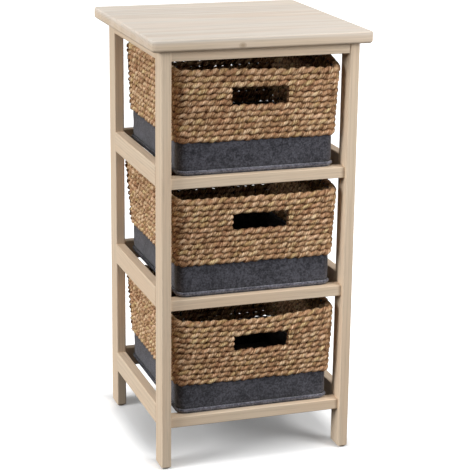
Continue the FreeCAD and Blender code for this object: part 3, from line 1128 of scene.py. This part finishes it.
def felt_finish(name, brightness):
    """Pressed wool: a mottled ground with paler hairs."""
    felt = bpy.context.scene.basket_unit.felt
    look = Look(name)
    place = look.place()
    cloud = look.noise(place, scale=CLOUD_SCALE, detail=2)
    mottle = look.noise(place, scale=MOTTLE_SCALE, detail=3, roughness=0.6)
    tuft = look.noise(place, scale=TUFT_SCALE, detail=2, roughness=0.6)
    squeezed = look.vector("MULTIPLY", place, HAIR_SQUEEZE)
    hair = look.noise(squeezed, scale=HAIR_SCALE, detail=3, roughness=0.7)
    shade = look.weigh((tuft, TUFT_WEIGHT), (mottle, MOTTLE_WEIGHT),
                       (hair, HAIR_WEIGHT), (cloud, CLOUD_WEIGHT))
    dark = tuple(share * brightness for share in felt.dark_colour)
    light = tuple(share * brightness for share in felt.light_colour)
    colour = look.ramp(shade, ((FELT_DARK_SHADE, dark), (FELT_LIGHT_SHADE, light)))
    look.bump(look.math("ADD", hair, mottle), FELT_DEPTH, strength=0.7)
    return look.finish(colour, roughness=0.95, Specular_IOR_Level=0.05,
                       Sheen_Weight=0.40, Sheen_Roughness=0.5)


class BASKETUNIT_OT_sew_felt_bands(bpy.types.Operator):
    """Sew the felt band round the foot of every basket"""

    bl_idname = "basket_unit.sew_felt_bands"
    bl_label = "Sew Felt Bands"

    def execute(self, context):
        felt = context.scene.basket_unit.felt
        finish = felt_finish("blue grey felt", BAND_BRIGHTNESS)
        waves = noise_field("felt waves", WAVE_SIZE, depth=1)
        for basket in map(Basket, LEVELS):
            hem_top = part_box(basket.body + "_hem_piping")[1].z
            foot = basket.floor - FELT_SINK
            rings = [(-2 * felt.crease_depth, foot), (-felt.crease_depth, hem_top),
                     (0.0, hem_top + HEM_ROUNDING)]
            rings += [(0.0, height) for height in np.linspace(hem_top, basket.felt_top, BAND_RINGS)[2:-1]]
            rings += [(-felt.crease_depth / 2, basket.felt_top)]
            band = outline_loop(basket, rings[0][0], foot)
            raise_rings(band, basket, rings)
            band.name = band.data.name = basket.body + "_felt"
            close_and_face_out(band, POINT_GAP)
            free = band.vertex_groups.new(name="free")
            for vertex in band.data.vertices:
                share = min(1.0, max(0.0, (vertex.co.z - hem_top) / (basket.felt_top - hem_top)))
                free.add([vertex.index], max(0.0, math.sin(math.pi * share)), "REPLACE")
            apply_modifier(band, "DISPLACE", texture=waves, texture_coords="LOCAL", vertex_group="free",
                           strength=felt.wave_depth, mid_level=WAVE_LEVEL)
            apply_modifier(band, "SOLIDIFY", thickness=felt.thickness, offset=-1)
            round_edges(band)
            apply_modifier(band, "SUBSURF", levels=1, render_levels=1)
            smooth_and_paint(band, finish)
            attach(band, basket.body)
            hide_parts(basket.body + "_felt_band")
        return {"FINISHED"}


class BASKETUNIT_OT_roll_hems(bpy.types.Operator):
    """Roll the hem round the foot of every basket"""

    bl_idname = "basket_unit.roll_hems"
    bl_label = "Roll Hems"

    def execute(self, context):
        # Painted highlight: the hem's felt is painted brighter than the band's
        finish = felt_finish("rolled felt hem", HEM_PAINTED_HIGHLIGHT)
        for basket in map(Basket, LEVELS):
            node = basket.body + "_hem_piping"
            low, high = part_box(node)
            reach = high.x - basket.felt_high.x
            tall = high.z - low.z
            rings = [(reach * out, low.z + tall * up) for out, up in HEM_PROFILE_SHARES]
            hem = outline_loop(basket, rings[0][0], rings[0][1])
            raise_rings(hem, basket, [*rings, rings[0]])
            hem.name = hem.data.name = basket.body + "_hem"
            close_and_face_out(hem, POINT_GAP)
            apply_modifier(hem, "SUBSURF", levels=1, render_levels=1)
            smooth_and_paint(hem, finish)
            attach(hem, basket.body)
            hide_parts(node)
        return {"FINISHED"}


class BASKETUNIT_OT_cut_bases(bpy.types.Operator):
    """Cut the felt base that lies in every basket"""

    bl_idname = "basket_unit.cut_bases"
    bl_label = "Cut Bases"

    def execute(self, context):
        finish = felt_finish("felt base", BASE_BRIGHTNESS)
        for basket in map(Basket, LEVELS):
            node = basket.body + "_base"
            low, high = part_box(node)
            base = outline_loop(basket, 0.0, low.z)
            thick = {"value": (0, 0, high.z - low.z)}
            activate(base)
            edit_all(bpy.ops.mesh.edge_face_add,
                     lambda: bpy.ops.mesh.extrude_region_move(TRANSFORM_OT_translate=thick))
            base.name = base.data.name = basket.body + "_base_pad"
            close_and_face_out(base, POINT_GAP)
            round_edges(base)
            close_and_face_out(base, POINT_GAP)
            smooth_and_paint(base, finish)
            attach(base, basket.body)
            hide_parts(node)
        return {"FINISHED"}


# Stage

FLOOR_SIZE = 24.0

# Share of the floor's glow that is left under the unit, which paints a shadow there
PAINTED_FLOOR_SHADOW = 0.12

# Share of the painted shadow's fade that lies inside the unit's outline
FLOOR_FADE_START = 0.6


class BASKETUNIT_OT_set_stage(bpy.types.Operator):
    """Set the pale floor, the soft light and the camera"""

    bl_idname = "basket_unit.set_stage"
    bl_label = "Set Stage"

    def execute(self, context):
        stage = context.scene.basket_unit.stage
        deselect_all()
        bpy.ops.mesh.primitive_plane_add(size=FLOOR_SIZE)
        floor = context.object
        floor.name = "floor"
        set_material(floor, floor_finish(stage))
        add_broad_light(context, "left light", stage.left_heading, stage.left_strength, stage.left_spread)
        add_broad_light(context, "overhead light", stage.top_heading, stage.top_strength, stage.top_spread)
        add_broad_light(context, "back light", stage.back_heading, stage.back_strength, stage.back_spread)
        add_soft_box(context, stage)
        set_sky(context, stage.sky_strength)
        add_camera(context, stage)
        context.scene.view_settings.view_transform = "Standard"
        return {"FINISHED"}


def floor_finish(stage):
    """White to the camera apart from the unit's shadow, which a dimmer glow under the unit paints deeper, and
    duller to the light that it throws back.
    """
    look = Look("white floor")
    seen = look.add("ShaderNodeLightPath", {}, "Is Camera Ray")
    colour = look.blend(seen, tuple(stage.bounce_colour), tuple(stage.floor_colour))
    # Painted shadow: the glow fades out towards the unit's outline and is dim under it
    x, y, _ = look.split(look.place())
    aside = look.math("MAXIMUM", look.math("SUBTRACT", look.math("ABSOLUTE", x), cad_high.x),
                      look.math("SUBTRACT", look.math("ABSOLUTE", y), cad_high.y))
    openness = look.ramp(look.math("MULTIPLY_ADD", aside, 1 / stage.floor_fade, FLOOR_FADE_START),
                         ((0.0, PAINTED_FLOOR_SHADOW), (1.0, 1.0)))
    glow = look.math("MULTIPLY", seen, look.math("MULTIPLY", openness, stage.floor_lift))
    return look.finish(colour, roughness=1.0, Specular_IOR_Level=0.0,
                       Emission_Color=(1, 1, 1, 1), Emission_Strength=glow)


def add_broad_light(context, name, heading, strength, spread):
    """A far light as wide as a soft box."""
    lamp = bpy.data.lights.new(name, "SUN")
    lamp.energy = strength
    lamp.angle = spread
    hang_light(context, lamp, heading, Vector(heading))


def add_soft_box(context, stage):
    """A square light at the front right, near enough to light the right of the unit most."""
    lamp = bpy.data.lights.new("soft box", "AREA")
    lamp.energy = stage.right_power
    lamp.size = stage.right_size
    middle = (cad_low + cad_high) / 2
    hang_light(context, lamp, stage.right_place, Vector(stage.right_place) - middle)


def hang_light(context, lamp, place, heading):
    """Put a lamp at its place and turn it to shine back along its heading."""
    light = bpy.data.objects.new(lamp.name, lamp)
    context.scene.collection.objects.link(light)
    light.location = place
    light.rotation_euler = heading.to_track_quat("Z", "Y").to_euler()


def set_sky(context, strength):
    """Light from all round, which the camera sees as white."""
    world = bpy.data.worlds.new("studio")
    world.use_nodes = True
    context.scene.world = world
    tree = world.node_tree
    background = tree.nodes["Background"]
    background.inputs["Color"].default_value = (1, 1, 1, 1)
    rays = tree.nodes.new("ShaderNodeLightPath")
    seen = rays.outputs["Is Camera Ray"]
    for kind in ("Is Glossy Ray", "Is Transmission Ray"):
        either = tree.nodes.new("ShaderNodeMath")
        either.operation = "MAXIMUM"
        tree.links.new(seen, either.inputs[0])
        tree.links.new(rays.outputs[kind], either.inputs[1])
        seen = either.outputs[0]
    level = tree.nodes.new("ShaderNodeMapRange")
    level.inputs["To Min"].default_value = strength
    level.inputs["To Max"].default_value = 1.0
    tree.links.new(seen, level.inputs["Value"])
    tree.links.new(level.outputs[0], background.inputs["Strength"])


def add_camera(context, stage):
    """A camera at the photograph's place and angle."""
    sight = Vector((math.sin(stage.camera_yaw) * math.cos(stage.camera_pitch),
                    math.cos(stage.camera_yaw) * math.cos(stage.camera_pitch),
                    -math.sin(stage.camera_pitch)))
    level = Vector((math.cos(stage.camera_yaw), -math.sin(stage.camera_yaw), 0))
    upright = level.cross(sight)
    right = level * math.cos(stage.camera_roll) + upright * math.sin(stage.camera_roll)
    up = upright * math.cos(stage.camera_roll) - level * math.sin(stage.camera_roll)
    lens = bpy.data.cameras.new("camera")
    lens.lens = stage.camera_lens
    camera = bpy.data.objects.new("camera", lens)
    context.scene.collection.objects.link(camera)
    turn = Matrix((right, up, -sight)).transposed().to_4x4()
    camera.matrix_world = Matrix.Translation(stage.camera_place) @ turn
    context.scene.camera = camera


# Panel and registration


OPERATORS = (
    BASKETUNIT_OT_finish_wood,
    BASKETUNIT_OT_finish_fixings,
    BASKETUNIT_OT_weave_rope_walls,
    BASKETUNIT_OT_bend_wire_frames,
    BASKETUNIT_OT_sew_felt_bands,
    BASKETUNIT_OT_roll_hems,
    BASKETUNIT_OT_cut_bases,
    BASKETUNIT_OT_set_stage,
)


class BASKETUNIT_PT_panel(bpy.types.Panel):
    """Lists the steps and their settings"""

    bl_label = "Basket Unit"
    bl_idname = "BASKETUNIT_PT_panel"
    bl_space_type = "VIEW_3D"
    bl_region_type = "UI"
    bl_category = "Basket Unit"

    def draw(self, context):
        settings = context.scene.basket_unit
        for operator in OPERATORS:
            self.layout.operator(operator.bl_idname)
        for group in (settings.wood, settings.rope, settings.felt, settings.stage):
            box = self.layout.box()
            for name in group.__annotations__:
                box.prop(group, name)


CLASSES = (WoodSettings, RopeSettings, FeltSettings, StageSettings, BasketUnitSettings, *OPERATORS,
           BASKETUNIT_PT_panel)


def register():
    for cls in CLASSES:
        bpy.utils.register_class(cls)
    bpy.types.Scene.basket_unit = bpy.props.PointerProperty(
        name="Basket unit", description="Settings of the basket drawer unit", type=BasketUnitSettings)


def unregister():
    del bpy.types.Scene.basket_unit
    for cls in reversed(CLASSES):
        bpy.utils.unregister_class(cls)


def main():
    """Dress the whole unit."""
    register()
    bpy.ops.basket_unit.finish_wood()
    bpy.ops.basket_unit.finish_fixings()
    bpy.ops.basket_unit.weave_rope_walls()
    bpy.ops.basket_unit.bend_wire_frames()
    bpy.ops.basket_unit.sew_felt_bands()
    bpy.ops.basket_unit.roll_hems()
    bpy.ops.basket_unit.cut_bases()
    bpy.ops.basket_unit.set_stage()


if __name__ == "__main__":
    main()
